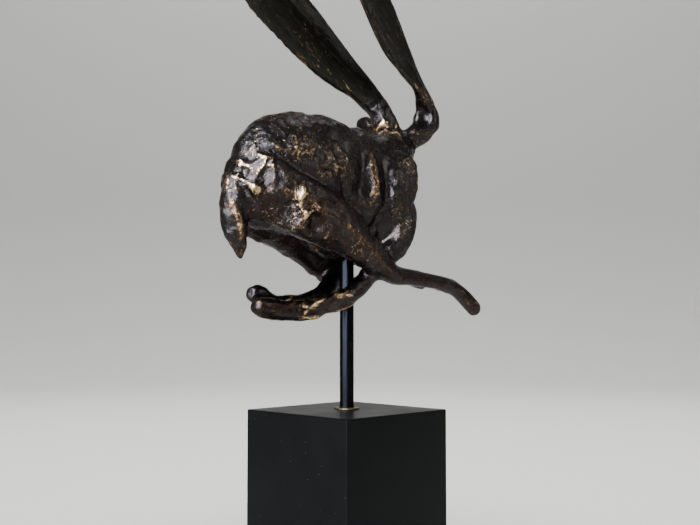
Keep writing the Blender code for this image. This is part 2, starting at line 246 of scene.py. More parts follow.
def blackened_steel(look):
    """Drawn steel rod, chemically blackened: smooth along its length, with a blue-grey sheen."""
    material, tree = new_material("blackened_steel")
    place = add_node(tree, "ShaderNodeTexCoord").outputs["Object"]
    drawn = add_node(tree, "ShaderNodeMapping", {"Vector": place, "Scale": (1.0, 1.0, 0.06)})
    streaks = grain(tree, drawn.outputs[0], 0.9 * MM, detail=3.0)
    cloud = grain(tree, place, 12 * MM)
    base = mix_colour(tree, blend_range(tree, cloud, 0.35, 0.7, 0.0, 0.35), tuple(look.rod_steel),
                      tuple(look.rod_cloud))
    roughness = math_node(tree, "ADD", blend_range(tree, cloud, 0.3, 0.7, 0.17, 0.24),
                          math_node(tree, "MULTIPLY", streaks, 0.08))
    bump = add_node(tree, "ShaderNodeBump", {"Strength": 0.2, "Distance": 0.05 * MM, "Height": streaks})
    shader = add_node(tree, "ShaderNodeBsdfPrincipled",
                      {"Base Color": base, "Metallic": 0.85, "Roughness": roughness,
                       "Specular IOR Level": 0.3, "Specular Tint": (0.25, 0.25, 0.25, 1.0)})
    finish_shader(tree, shader, bump.outputs[0])
    return material


def dull_brass(look):
    """Thin turned brass ring, dulled to olive, darker where dirt sits."""
    material, tree = new_material("dull_brass")
    place = add_node(tree, "ShaderNodeTexCoord").outputs["Object"]
    dirt = grain(tree, place, 2.2 * MM, detail=4.0)
    base = mix_colour(tree, blend_range(tree, dirt, 0.42, 0.62), tuple(look.brass),
                      tuple(look.brass_dirt))
    bump = add_node(tree, "ShaderNodeBump", {"Strength": 0.3, "Distance": 0.1 * MM, "Height": dirt})
    shader = add_node(tree, "ShaderNodeBsdfPrincipled",
                      {"Base Color": base, "Metallic": 0.8,
                       "Roughness": blend_range(tree, dirt, 0.3, 0.7, 0.35, 0.55)})
    finish_shader(tree, shader, bump.outputs[0])
    return material


def black_lacquer(look):
    """Sprayed satin black lacquer on a planed block: even, faintly blue, with specks of dust."""
    material, tree = new_material("black_lacquer")
    place = add_node(tree, "ShaderNodeTexCoord").outputs["Object"]
    cloud = grain(tree, place, 35 * MM, detail=2.0)
    peel = grain(tree, place, 1.6 * MM, detail=2.0)
    # Real dust is under 0.2 mm; it is drawn at 0.5 mm so that it shows
    dust = add_node(tree, "ShaderNodeTexVoronoi", {"Vector": place, "Scale": 1.0 / (7 * MM)})
    chosen = add_node(tree, "ShaderNodeSeparateColor", {"Color": dust.outputs["Color"]}).outputs[0]
    specks = math_node(tree, "MULTIPLY", blend_range(tree, dust.outputs["Distance"], 0.035, 0.06, 1.0, 0.0),
                       blend_range(tree, chosen, 0.80, 0.84))
    base = mix_colour(tree, blend_range(tree, cloud, 0.35, 0.7, 0.0, 0.6), tuple(look.lacquer),
                      tuple(look.lacquer_cloud))
    base = mix_colour(tree, math_node(tree, "MULTIPLY", specks, 0.35), base, tuple(look.dust))
    roughness = math_node(tree, "ADD", blend_range(tree, cloud, 0.3, 0.7, 0.34, 0.40),
                          math_node(tree, "MULTIPLY", specks, 0.3))
    bump = add_node(tree, "ShaderNodeBump", {"Strength": 0.12, "Distance": 0.05 * MM, "Height": peel})
    shader = add_node(tree, "ShaderNodeBsdfPrincipled",
                      {"Base Color": base, "Roughness": roughness, "Specular IOR Level": 0.08})
    finish_shader(tree, shader, bump.outputs[0])
    return material


def pale_backdrop(look):
    """Plain pale matt paper sweep."""
    material, tree = new_material("pale_backdrop")
    shader = add_node(tree, "ShaderNodeBsdfPrincipled",
                      {"Base Color": (*look.backdrop, 1.0), "Roughness": 0.9, "Specular IOR Level": 0.1})
    finish_shader(tree, shader)
    return material


# Meshes

def piece_from(mesh, name):
    """A new object in the scene for a mesh."""
    body = bpy.data.objects.new(name, mesh)
    bpy.context.scene.collection.objects.link(body)
    return body


def merged_copy(node):
    """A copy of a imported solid's mesh, with its loose triangles merged."""
    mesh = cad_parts[node].data.copy()
    mesh.materials.clear()
    bm = bmesh.new()
    bm.from_mesh(mesh)
    bmesh.ops.remove_doubles(bm, verts=bm.verts, dist=0.01 * MM)
    bm.to_mesh(mesh)
    bm.free()
    return mesh


def settle_modifiers(body):
    """Replaces a piece's mesh with its evaluated one, and takes its modifiers off."""
    depsgraph = bpy.context.evaluated_depsgraph_get()
    mesh = bpy.data.meshes.new_from_object(body.evaluated_get(depsgraph))
    body.modifiers.clear()
    body.data = mesh
    return mesh


def add_modifier(body, name, kind, **values):
    modifier = body.modifiers.new(name, kind)
    for key, value in values.items():
        setattr(modifier, key, value)
    return modifier


def places_and_normals(mesh):
    """Each vertex's place and normal, as two arrays."""
    places = np.empty(len(mesh.vertices) * 3, np.float32)
    normals = np.empty(len(mesh.vertices) * 3, np.float32)
    mesh.vertices.foreach_get("co", places)
    mesh.vertices.foreach_get("normal", normals)
    return places.reshape(-1, 3).astype(float), normals.reshape(-1, 3).astype(float)


def put_places(mesh, places):
    mesh.vertices.foreach_set("co", places.astype(np.float32).ravel())
    mesh.update()


def smooth_share(values, low, high):
    """Nought below low, one above high, and a smooth step between them."""
    t = np.clip((values - low) / (high - low), 0.0, 1.0)
    return t * t * (3 - 2 * t)


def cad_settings(piece, node):
    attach(piece, BODY)
    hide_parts(node)


def add_attribute(mesh, name, values):
    layer = mesh.attributes.new(name, "FLOAT", "POINT")
    layer.data.foreach_set("value", values.astype(np.float32))


def heights_over_smooth(mesh, places, normals, steps):
    """How far each vertex stands out of a smoothed copy of the surface."""
    edges = np.empty(len(mesh.edges) * 2, np.int64)
    mesh.edges.foreach_get("vertices", edges)
    first, second = edges.reshape(-1, 2).T
    count = np.bincount(edges, minlength=len(places)).astype(float)
    smooth = places.copy()
    for _ in range(steps):
        total = np.zeros_like(smooth)
        for axis in range(3):
            total[:, axis] = (np.bincount(first, smooth[second, axis], len(places))
                              + np.bincount(second, smooth[first, axis], len(places)))
        smooth = 0.35 * smooth + 0.65 * total / count[:, None]
    return np.einsum("ij,ij->i", places - smooth, normals)


# The hare's skin. Places are in millimetres from the middle of the rod, at the height of the belly

BELLY_HEIGHT = 205.0
HEAD_TURN = math.radians(80)
HEAD_LIFT = math.radians(14)
SKULL = np.array((60.0, 7.0, 91.0))
FACING = np.array((math.cos(HEAD_TURN) * math.cos(HEAD_LIFT),
                   math.sin(HEAD_TURN) * math.cos(HEAD_LIFT), math.sin(HEAD_LIFT)))
HEAD_RIGHT = np.array((math.sin(HEAD_TURN), -math.cos(HEAD_TURN), 0.0))
HEAD_UP = np.cross(HEAD_RIGHT, FACING)


def on_head(right, forward, up):
    """A place on the turned head, from the middle of its skull."""
    return SKULL + right * HEAD_RIGHT + forward * FACING + up * HEAD_UP


# The flanks' lines, here and below, stand on the right side and are mirrored to the left.
# Each line pressed into a flank: its places, its width, its depth, and how much it is polished to
# bare bronze. A negative depth raises it
FLANK_LINES = {
    "roll over the crease": (
        ((-88, -16, 74), (-83.8, -19.8, 70.8), (-80.4, -21.8, 68.4), (-75.4, -23.9, 66.1),
         (-71, -25.9, 63.1), (-62, -27, 58)), 2.4, -1.3, 0.75),
    "crease over the haunch": (
        ((-85.5, -20, 66.5), (-79.5, -24.2, 61), (-71.6, -28.5, 56.2), (-54.9, -30.7, 50.6),
         (-32.8, -29, 44.5), (-11.8, -21.6, 35.7), (0, -21.4, 29.5)), 4.0, 3.0, 0.0),
    "ridge of the last rib": (
        ((-1, -14, 86), (3.5, -20.5, 74.6), (4.3, -23.6, 64.4), (5.3, -24.6, 54.5), (4.5, -24, 46),
         (-1, -21.8, 36)), 3.6, -1.2, 0.75),
    "valley behind the rib": (
        ((-6.7, -10.7, 93.1), (-6.6, -19.4, 81.3), (-5.4, -21.3, 67.3), (-4.4, -21.2, 53.3),
         (-7.5, -21.3, 40.4)), 4.0, 1.1, 0.0),
    "swell before the rib": (
        ((19, -12, 88), (19.3, -15.5, 81.5), (18.8, -20, 68), (17.2, -20.4, 53.3), (13.5, -19.9, 40.8),
         (10.9, -18.3, 28.4)), 5.4, -1.3, 0.0),
    "upper edge of the thigh": (
        ((-86.7, -22.2, 59.8), (-83.6, -27.5, 51.9), (-77.3, -31, 45), (-69.2, -33.6, 41)), 2.6, -1.2, 0.75),
    "ridge of the thigh": (
        ((-96.7, -16.2, 41.4), (-84.7, -27.7, 42.1), (-73.5, -32.5, 39.4), (-62.8, -35.2, 33.6),
         (-54.5, -36, 28.2), (-36, -37.6, 21), (-27.7, -37.1, 16.6), (-19.1, -36.3, 11),
         (-12.3, -35.4, 6.6), (-3.9, -34.1, 1.5), (12.4, -31.3, -7.6)), 2.6, -1.1, 0.75),
    "rim beside the tail": (
        ((-105, -7, 52), (-103.8, -8.9, 48.5), (-102.1, -10.9, 45.2), (-99.6, -13.8, 43.3),
         (-96.7, -16.2, 41.4), (-95.6, -15, 35.8)), 1.8, -1.2, 0.75),
    "lip of the haunch": (
        ((-83.9, -15.2, 23.7), (-80.4, -19.1, 19.8), (-76.1, -22, 17.6), (-72.2, -26.4, 18.6),
         (-70.9, -30.7, 24.2), (-67.1, -33.3, 28.8), (-62.2, -34.7, 29.7), (-55.8, -35.5, 26.9)),
        2.6, -1.9, 0.75),
    "edge of the thigh's dish": (
        ((-55, -35, 26), (-51, -34.5, 21), (-50, -33, 15), (-53, -29, 9.5)), 2.2, -0.8, 0.75),
    "groove of the shoulder": (
        ((34, -20, 88), (27.5, -23.5, 74), (25, -25, 60), (26, -25, 46)), 2.4, 0.5, 0.0),
    "back of the upper arm": (((14, -21, 36), (9.5, -18, 24), (3, -17, 14)), 3.6, 2.0, 0.0),
    "front of the upper arm": (((29, -24, 36), (30, -24.7, 23.6), (25.6, -25.1, 12.5)), 2.8, -0.7, 0.0),
}
# Each round hollow in a flank: its middle, its radius and its depth
FLANK_HOLLOWS = {
    "dish of the thigh": ((-60.3, -31.0, 18.5), 6.0, 3.0),
    "hollow of the haunch": ((-79.0, -29.0, 31.0), 8.0, 3.4),
    "hollow beside the tail": ((-103.0, -10.2, 36.5), 4.5, 1.8),
    "brown hollow by the tail": ((-96.5, -13.5, 35.0), 4.0, 1.2),
    "pit behind the arm": ((6.0, -19.0, 23.5), 4.5, 1.6),
    "hollow of the loin": ((-40, -23.5, 78), 7.5, 0.8),
    "hollow of the nape": ((17.0, -9.0, 93.0), 5.5, 2.6),
    "hollow at the left ear's root": ((40.5, 6.5, 110.0), 5.0, 1.2),
}
# Each swell on the right side: its middle, its radius and its height
SWELLS = {
    "chest": ((44, -26, 64), 13, 1.3),
    "hind toes": ((119, -23, -36), 7, 1.2),
    "forepaw": ((-90, -11, -32), 6, 1.3),
    "first knot of the forearm": ((-54.4, -15, -33.7), 3.2, 1.1),
    "second knot of the forearm": ((-37.4, -15.4, -28.9), 2.6, 1.1),
    "third knot of the forearm": ((-26.7, -15.1, -24), 2.8, 1.2),
    "elbow": ((-9.5, -17.4, -16.8), 3.4, 1.2),
    "hock": ((16, -30.5, -9.5), 5.5, 1.3),
}
# Where the patina is rubbed thin or flecked: a middle, a radius and how much. Below nought it is kept
WORN_PATCHES = {
    "loin": ((-38, -25, 66), 19, 0.4),
    "flank behind the ribs": ((-24, -24, 57), 10, 0.3),
    "rump": ((-66, -24, 74), 13, 0.6),
    "facets over the tail": ((-97, -15, 54), 15, 0.2),
    "haunch": ((-72, -32, 35), 13, 0.5),
    "under the thigh's dish": ((-52, -33, 14), 9, 0.7),
    "beside the tail": ((-92, -13, 27), 10, 0.5),
    "nape": ((42, -2, 98), 15, 0.8),
    "last rib": ((6, -23, 56), 7, 0.3),
    "tail": ((-107, -6, 24), 14, -3.0),
    "top of the rump": ((-78, 0, 100), 16, 0.5),
    "upper arm": ((33, -25, 20), 8, 0.5),
    "left ear's root": ((41, 6, 108), 8, -2.0),
    "back of the skull": ((42, 13, 103), 12, 1.4),
    "hind toes": ((98, -23, -18), 30, -0.6),
    "left rump": ((-66, 26, 60), 22, 0.8),
    "left flank": ((-30, 24, 62), 20, 0.7),
    "left haunch": ((-72, 32, 35), 16, 0.8),
    "muzzle": ((66, 40, 98), 16, 0.5),
    "forearm": ((-40, -14, -30), 34, 0.65),
    "hind foot": ((90, -22, -20), 34, 0.6),
    "shoulder": ((36, -24, 62), 18, 0.5),
}
# Where the casting is smooth and black: a middle, a radius and how much
CALM_PATCHES = {
    "behind the last rib, high": ((-5, -20, 70), 9, 1.0),
    "behind the last rib, low": ((-4, -21, 50), 9, 1.0),
    "before the last rib, high": ((20, -20, 70), 8, 1.0),
    "before the last rib, middle": ((17, -20, 50), 9, 1.0),
    "before the last rib, low": ((12, -19, 32), 9, 1.0),
    "crease of the haunch, behind": ((-62, -30, 52), 9, 1.0),
    "crease of the haunch, in front": ((-40, -30, 46), 9, 1.0),
    "upper arm": ((20, -20, 20), 11, 1.0),
    "cup at the right ear's root": ((74, -12, 114), 12, 1.0),
    "left ear's root": ((34, 12, 128), 14, 1.0),
    "tail": ((-109, -5, 24), 9, 1.0),
    "left shin": ((-20, 20, 6), 16, 1.0),
    "left cheek": (on_head(-14, 30, 8), 10, 1.0),
    "face": (on_head(0, 42, 0), 27, 1.0),
}
# Where the clay was scooped and faceted: a middle, a radius and how much
ROUGH_PATCHES = {
    "facets over the tail": ((-98, -14, 54), 18, 1.0),
    "facets over the tail, left": ((-97, 14, 54), 15, 1.0),
    "nape": ((44, 0, 100), 13, 1.0),
    "loin": ((-38, -25, 64), 18, 0.32),
    "haunch": ((-72, -32, 34), 14, 0.7),
    "left forearm": ((-50, 10, -34), 16, 1.0),
    "elbow": ((-20, -12, -28), 14, 1.0),
    "forearm": ((-50, -10, -33), 16, 1.0),
    "rump": ((-66, -24, 74), 14, 0.6),
}
# Lines on the tail and round the cup at the right ear's root
TAIL_KEEL = ((-110, -4, 38), (-109, -6.5, 31.5), (-106.8, -8, 25.8), (-104.1, -8, 19.6), (-102, -6, 11))
TAIL_STEP = ((-113, 0, 30), (-112, -4, 29.5), (-110, -7, 28.5))
TAIL_GROOVE = ((-104, -9.5, 34), (-101.5, -10.5, 27), (-100, -9, 20))
EAR_CUP = ((70, -6.5, 126), (72.5, -7, 121), (76, -8, 115), (78.5, -9, 109))
EAR_CUP_RIM = ((68, -7, 127), (70.5, -12, 119), (76, -17, 110), (82, -14, 105))
# Folds across the left ear's root: the middle and the depth of each
EAR_FOLDS = (((33.5, 9.3, 123.5), 1.0), ((37, 7.2, 119), 1.0), ((35, 8.5, 121.2), 0.2))
EAR_FOLD_HALF = np.array((3, -2.5, 2))
# The middle of each ear from its root, and of each foreleg and lower hind leg from the body
EAR_LINES = (
    ((44.5, 11, 118), (30.2, 15.5, 132.6), (6.6, 20.9, 149.4), (-20.7, 27.2, 173.2), (-48.6, 33.2, 197.4),
     (-71, 39, 223), (-91, 44.5, 247)),
    ((77, -7.5, 122), (69, -9, 135), (48.5, -12, 149), (20.2, -18.1, 167.1), (-5.7, -23.2, 192.3),
     (-29, -28.5, 216), (-55, -34.5, 241)),
)
LIMB_LINES = (
    ((4, -24.5, 0), (24, -24, -9.5), (44, -23.5, -11), (70, -23, -13.5), (92, -22, -17), (121, -22, -37)),
    ((4, 23.5, -8), (32, 22, -14), (58, 22, -4.5), (90, 22, -9), (110, 22, -15)),
    ((1, -15, -15.5), (-26, -12, -29), (-50, -10, -35), (-92, -8.5, -31.5)),
    ((-3, 14, -15), (-32, 11, -28.5), (-50, 9.5, -30.5), (-84, 8, -24)),
)
# Ridges polished to bare bronze, apart from those above: places, half width and how much
POLISHED_LINES = {
    "keel of the tail": (TAIL_KEEL, 1.8, 1.4),
    "rim across the tail": (
        ((-112.1, -1.2, 29.8), (-111.2, -4.1, 30.3), (-108.7, -8, 30.9), (-107.6, -8.7, 27.7)), 1.0, 1.0),
    "left edge of the tail": (((-111, -1.7, 40.8), (-109.2, -1.4, 46.7), (-106.1, 0.5, 53)), 1.0, 0.9),
    "forearm": (
        ((-63, -15.2, -35), (-54.4, -14.9, -33.7), (-48.3, -15.2, -32.4), (-37.4, -15.4, -28.9),
         (-26.7, -15.1, -24), (-17.4, -15.4, -20.4), (-7, -17.6, -15)), 1.6, 0.2),
    "last rib": (
        ((-2, -16, 84), (2, -20.5, 74), (2.6, -23.4, 64.4), (3.6, -24.4, 54.5), (3, -24, 46),
         (-1, -22, 38)), 2.6, 0.5),
    "forepaw": (((-91, -12.6, -30), (-86, -14.8, -32)), 1.3, 0.7),
    "shin": (
        ((-45, -37, 25), (-36, -37.6, 21), (-27.7, -37.1, 16.6), (-19.1, -36.3, 11), (-12.3, -35.4, 6.6),
         (-3.9, -34.1, 1.5), (3, -33, -3)), 3.4, 0.38),
    "over the thigh's dish": (
        ((-71, -31, 27), (-66, -33.6, 32), (-58, -35.5, 31), (-50, -36.5, 27)), 2.8, 0.45),
    "rim of the upper arm": (((20, -21, 34), (29, -24.5, 40), (38, -25, 37), (41, -23, 34)), 1.0, 0.6),
    "nape": (((12.5, -8, 94), (22, -10, 91), (30, -12, 89), (36, -12, 89)), 1.2, 0.45),
}


class Skin:
    """The casting's surface while it is worked: its places and normals, in millimetres."""

    def __init__(self, mesh):
        self.mesh = mesh
        places, self.normals = places_and_normals(mesh)
        self.places = places / MM - (0.0, 0.0, BELLY_HEIGHT)

    def to_line(self, path):
        """Each vertex's distance from a line, and its share of the way along it."""
        path = np.array(path, float)
        steps = np.linalg.norm(np.diff(path, axis=0), axis=1)
        starts = np.concatenate([[0.0], np.cumsum(steps)])
        best = np.full(len(self.places), 1e9)
        along = np.zeros(len(self.places))
        for start, end, step, before in zip(path, path[1:], steps, starts):
            way = (end - start) / step
            t = np.clip((self.places - start) @ way, 0.0, step)
            distance = np.linalg.norm(self.places - start - t[:, None] * way, axis=1)
            nearer = distance < best
            best[nearer] = distance[nearer]
            along[nearer] = (before + t[nearer]) / starts[-1]
        return best, along

    def to_place(self, centre):
        """Each vertex's distance from a place."""
        return np.linalg.norm(self.places - np.array(centre, float), axis=1)

    def push(self, amounts):
        """Moves each vertex out along its normal."""
        self.places += self.normals * amounts[:, None]

    def press_line(self, path, width, depth):
        """Presses a groove along a line, fading at both ends. A negative depth raises a ridge."""
        distance, along = self.to_line(path)
        fade = np.sin(math.pi * np.clip(along, 0.06, 0.94)) ** 0.6
        self.push(-depth * np.exp(-(distance / width) ** 2) * fade)

    def press_hollow(self, centre, radius, depth):
        """Presses a round hollow. A negative depth raises a swell."""
        self.push(-depth * np.exp(-(self.to_place(centre) / radius) ** 2))

    def press_ring(self, centre, radius, width, depth):
        """Presses a round groove about a place."""
        self.push(-depth * np.exp(-((self.to_place(centre) - radius) / width) ** 2))

    def settle(self):
        """Writes the places back and works the normals out again."""
        put_places(self.mesh, (self.places + (0.0, 0.0, BELLY_HEIGHT)) * MM)
        self.normals = places_and_normals(self.mesh)[1]


def other_side(place):
    """The same place on the other flank."""
    return (place[0], -place[1], place[2])


def carve_flanks(skin):
    """Creases, ridges and hollows, fully on the right and softer on the left, and the right's swells."""
    softer, wider = 0.8, 1.1
    for path, width, depth, _ in FLANK_LINES.values():
        skin.press_line(path, width, depth)
        skin.press_line([other_side(place) for place in path], width * wider, depth * softer)
    for centre, radius, depth in FLANK_HOLLOWS.values():
        skin.press_hollow(centre, radius, depth)
        skin.press_hollow(other_side(centre), radius, depth * softer)
    for centre, radius, height in SWELLS.values():
        skin.press_hollow(centre, radius, -height)
    skin.settle()


def carve_head(skin):
    """Eyes with lids, nostrils, the mouth and the cheeks."""
    for side in (-1, 1):
        eye = on_head(side * 17.5, 30, 4)
        skin.press_ring(eye, 5.4, 1.5, 1.5)
        skin.press_hollow(eye, 3.4, -1.5)
        skin.press_line([on_head(side * 15, 36, 3), on_head(side * 17, 33, 8.5), on_head(side * 17, 26, 9),
                         on_head(side * 17, 22, 4)], 1.6, -1.5)
        skin.press_line([on_head(side * 12.5, 38, 1), on_head(side * 10.5, 46, -2)], 1.8, 1.2)
        skin.press_hollow(on_head(side * 4.2, 62, -5.5), 2.2, 2.8)
        skin.press_line([on_head(side * 1.5, 63.5, -10), on_head(side * 7, 58, -14.5),
                         on_head(side * 10, 50, -14.5)], 1.6, 2.0)
        skin.press_line([on_head(side * 16, 14, -16), on_head(side * 18, 24, -12),
                         on_head(side * 13, 36, -9)], 3.0, 0.8)
    skin.press_line([on_head(0, 65, -6.5), on_head(0, 64.5, -12)], 1.4, 1.8)
    skin.settle()


def carve_tail_and_ears(skin):
    """The tail's keel, the hollow cup at the right ear's base and folds at the left ear's base."""
    skin.press_line(TAIL_KEEL, 1.8, -1.2)
    skin.press_line(TAIL_STEP, 2.6, 1.0)
    skin.press_line(TAIL_GROOVE, 1.8, 0.9)
    skin.press_line(EAR_CUP, 4.0, 1.3)
    skin.press_line(EAR_CUP_RIM, 1.8, -0.7)
    for middle, depth in EAR_FOLDS:
        skin.press_line([middle - EAR_FOLD_HALF, middle, middle + EAR_FOLD_HALF], 1.5, depth)
    skin.settle()


def patch_share(skin, patches):
    """How far each vertex lies in any of some round patches. Full patches don't add up past one."""
    share = np.zeros(len(skin.places))
    for centre, radius, amount in patches.values():
        near = 1.0 - smooth_share(skin.to_place(centre), radius * 0.45, radius * 1.25)
        share += near * amount * (1.0 - np.clip(share, 0.0, 1.0))
    return share


def grain_shares(skin):
    """How far each vertex belongs to an ear, and its place with the ears' and limbs' length drawn in."""
    ears = np.zeros(len(skin.places))
    grain_place = skin.places.copy()
    for paths, reach, share_drawn in ((EAR_LINES, 22.0, 0.82), (LIMB_LINES, 9.0, 0.72)):
        for path in paths:
            distance, along = skin.to_line(path)
            own = (1.0 - smooth_share(distance, reach, reach * 1.2)) * smooth_share(along, 0.0, 0.12)
            start = np.array(path[0], float)
            way = np.array(path[-1], float) - start
            way /= np.linalg.norm(way)
            grain_place -= (own * share_drawn * ((skin.places - start) @ way))[:, None] * way
            if paths is EAR_LINES:
                ears = np.maximum(ears, own)
    return ears, grain_place


def gilt_share(skin):
    """How far each vertex lies on a polished ridge, on either side; nought to about one."""
    share = np.zeros(len(skin.places))
    lines = [(path, width * 0.5, polish) for path, width, _, polish in FLANK_LINES.values() if polish]
    for path, width, amount in lines + list(POLISHED_LINES.values()):
        for line in (path, [other_side(place) for place in path]):
            distance, along = skin.to_line(line)
            fade = np.sin(math.pi * np.clip(along, 0.04, 0.96)) ** 0.5
            share = np.maximum(share, amount * fade * np.exp(-(distance / width) ** 2))
    return share


def clay_marks_tree(look, material):
    """Geometry nodes that push a surface in and out as thumbed and dabbed clay."""
    tree = bpy.data.node_groups.new("clay_marks", "GeometryNodeTree")
    sockets = tree.interface
    sockets.new_socket("Geometry", in_out="INPUT", socket_type="NodeSocketGeometry")
    for name in ("Lump Size", "Lump Depth", "Dab Size", "Dab Depth", "Scoop Size", "Scoop Depth", "Seed"):
        sockets.new_socket(name, in_out="INPUT", socket_type="NodeSocketFloat")
    sockets.new_socket("Geometry", in_out="OUTPUT", socket_type="NodeSocketGeometry")
    given = add_node(tree, "NodeGroupInput").outputs
    normal = add_node(tree, "GeometryNodeInputNormal").outputs[0]

    def read(name, kind="FLOAT"):
        return add_node(tree, "GeometryNodeInputNamedAttribute", {"Name": name}, data_type=kind).outputs[0]

    def marks(size, depth, detail, shift):
        moved = add_node(tree, "ShaderNodeVectorMath", {0: read("grain", "FLOAT_VECTOR"), 1: (shift,) * 3},
                         operation="ADD").outputs[0]
        noise = add_node(tree, "ShaderNodeTexNoise",
                         {"Vector": moved, "W": given["Seed"], "Scale": math_node(tree, "DIVIDE", 1.0, size),
                          "Detail": detail, "Roughness": 0.5, "Distortion": 0.4}, noise_dimensions="4D")
        return math_node(tree, "MULTIPLY", math_node(tree, "SUBTRACT", noise.outputs[0], 0.5), depth)

    def scoops(size, depth):
        wander = add_node(tree, "ShaderNodeTexNoise", {"Vector": read("grain", "FLOAT_VECTOR"), "Detail": 1.0,
                                                       "Scale": math_node(tree, "DIVIDE", 0.6, size)})
        swing = add_node(tree, "ShaderNodeVectorMath", {0: wander.outputs["Color"], "Scale": size},
                         operation="SCALE").outputs[0]
        moved = add_node(tree, "ShaderNodeVectorMath", {0: read("grain", "FLOAT_VECTOR"), 1: swing},
                         operation="ADD").outputs[0]
        cells = add_node(tree, "ShaderNodeTexVoronoi", {"Vector": moved, "W": given["Seed"],
                                                        "Scale": math_node(tree, "DIVIDE", 1.0, size)},
                         voronoi_dimensions="4D")
        bowl = math_node(tree, "POWER", cells.outputs["Distance"], 2.0)
        return math_node(tree, "MULTIPLY", math_node(tree, "SUBTRACT", bowl, 0.2), depth)

    # Dabs all over, with scoops that are shallow where the clay is even and deep where it is rough
    dabs = marks(given["Dab Size"], given["Dab Depth"], 2.0, 0.31)
    worked = math_node(tree, "ADD", 0.25, read("rough"))
    dabs = math_node(tree, "ADD", dabs, math_node(tree, "MULTIPLY", worked,
                                                  scoops(given["Scoop Size"], given["Scoop Depth"])))
    push = math_node(tree, "ADD", marks(given["Lump Size"], given["Lump Depth"], 1.0, 0.0), dabs)
    push = math_node(tree, "MULTIPLY", push, math_node(tree, "SUBTRACT", 1.0, read("calm")))
    offset = add_node(tree, "ShaderNodeVectorMath", {0: normal, "Scale": push}, operation="SCALE")
    moved = add_node(tree, "GeometryNodeSetPosition", {"Geometry": given["Geometry"],
                                                       "Offset": offset.outputs[0]})
    real = add_node(tree, "GeometryNodeRealizeInstances", {"Geometry": moved.outputs[0]})
    named = add_node(tree, "GeometryNodeSetMaterial", {"Geometry": real.outputs[0], "Material": material})
    add_node(tree, "NodeGroupOutput", {"Geometry": named.outputs[0]})
    return tree


def set_tree_inputs(modifier, values):
    """Sets the inputs of a modifier's node tree by their names."""
    for item in modifier.node_group.interface.items_tree:
        if item.item_type == "SOCKET" and item.in_out == "INPUT" and item.name in values:
            modifier[item.identifier] = values[item.name]


def mark_zones(skin):
    """Attributes for the calm, rough, worn, polished and warm places, and the ears and limbs' grain."""
    forward, up = skin.places[:, 0], skin.places[:, 2]
    ears, grain_place = grain_shares(skin)
    calm = patch_share(skin, CALM_PATCHES)
    add_attribute(skin.mesh, "calm", np.maximum(calm * 0.75, ears * 0.45))
    add_attribute(skin.mesh, "rough", patch_share(skin, ROUGH_PATCHES) * 0.9)
    add_attribute(skin.mesh, "ear", ears)
    add_attribute(skin.mesh, "gilt", gilt_share(skin))
    # The legs under the belly are less worn, and so are the calm patches
    worn = patch_share(skin, WORN_PATCHES)
    worn -= 0.6 * (1.0 - smooth_share(up, -4.0, 10.0))
    add_attribute(skin.mesh, "worn", worn - 0.8 * calm)
    # Warmer low on the body, though not on the tail or the chest, and on top of the rump
    low = (1.0 - smooth_share(up, 30.0, 62.0)) * smooth_share(forward, -103.0, -96.0)
    low *= 1.0 - smooth_share(forward, -14.0, 2.0) * smooth_share(up, 0.0, 10.0)
    top = smooth_share(up, 84.0, 100.0) * (1.0 - smooth_share(forward, -40.0, 0.0))
    add_attribute(skin.mesh, "warmth", np.maximum(low, top) * (1.0 - ears))
    layer = skin.mesh.attributes.new("grain", "FLOAT_VECTOR", "POINT")
    layer.data.foreach_set("vector", (grain_place * MM).astype(np.float32).ravel())


def mark_rubbed_heights(mesh):
    """An attribute that is one on small ridges and lumps, where handling rubs the patina off."""
    places, normals = places_and_normals(mesh)
    small = heights_over_smooth(mesh, places, normals, 6)
    broad = heights_over_smooth(mesh, places, normals, 40)
    height = small + 0.12 * broad
    spread = float(np.std(height))
    add_attribute(mesh, "rub", smooth_share(height, 0.8 * spread, 2.6 * spread))


class HARE_OT_cast_hare(bpy.types.Operator):
    """Makes the bronze hare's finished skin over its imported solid"""
    bl_idname = "hare.cast_hare"
    bl_label = "Cast the hare"

    def execute(self, context):
        look = settings().hare
        hare = piece_from(merged_copy("hare"), "bronze_hare")
        add_modifier(hare, "Skin", "REMESH", mode="VOXEL", voxel_size=look.skin_step)
        add_modifier(hare, "Soften", "SMOOTH", factor=0.5, iterations=8)
        skin = Skin(settle_modifiers(hare))
        carve_flanks(skin)
        carve_head(skin)
        carve_tail_and_ears(skin)
        mark_zones(skin)
        marks = hare.modifiers.new("Clay marks", "NODES")
        marks.node_group = clay_marks_tree(look, waxed_bronze_patina(look))
        set_tree_inputs(marks, {"Lump Size": look.lump_size, "Lump Depth": look.lump_depth,
                                "Dab Size": look.dab_size, "Dab Depth": look.dab_depth,
                                "Scoop Size": look.scoop_size, "Scoop Depth": look.scoop_depth,
                                "Seed": float(look.seed)})
        mesh = settle_modifiers(hare)
        mesh.name = "bronze_hare"
        mark_rubbed_heights(mesh)
        mesh.shade_smooth()
        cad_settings(hare, "hare")
        return {"FINISHED"}


# The stand

def finished_copy(node, name, material, rounding):
    """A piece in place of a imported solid, with its faces joined up and its edges rounded."""
    mesh = merged_copy(node)
    mesh.name = name
    bm = bmesh.new()
    bm.from_mesh(mesh)
    bmesh.ops.dissolve_limit(bm, angle_limit=math.radians(0.5), verts=bm.verts, edges=bm.edges)
    bm.to_mesh(mesh)
    bm.free()
    mesh.materials.append(material)
    mesh.shade_smooth()
    piece = piece_from(mesh, name)
    add_modifier(piece, "Round edges", "BEVEL", width=rounding, segments=3, limit_method="ANGLE",
                 angle_limit=math.radians(25))
    add_modifier(piece, "Flat faces", "WEIGHTED_NORMAL", weight=100)
    settle_modifiers(piece).name = name
    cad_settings(piece, node)
    return piece


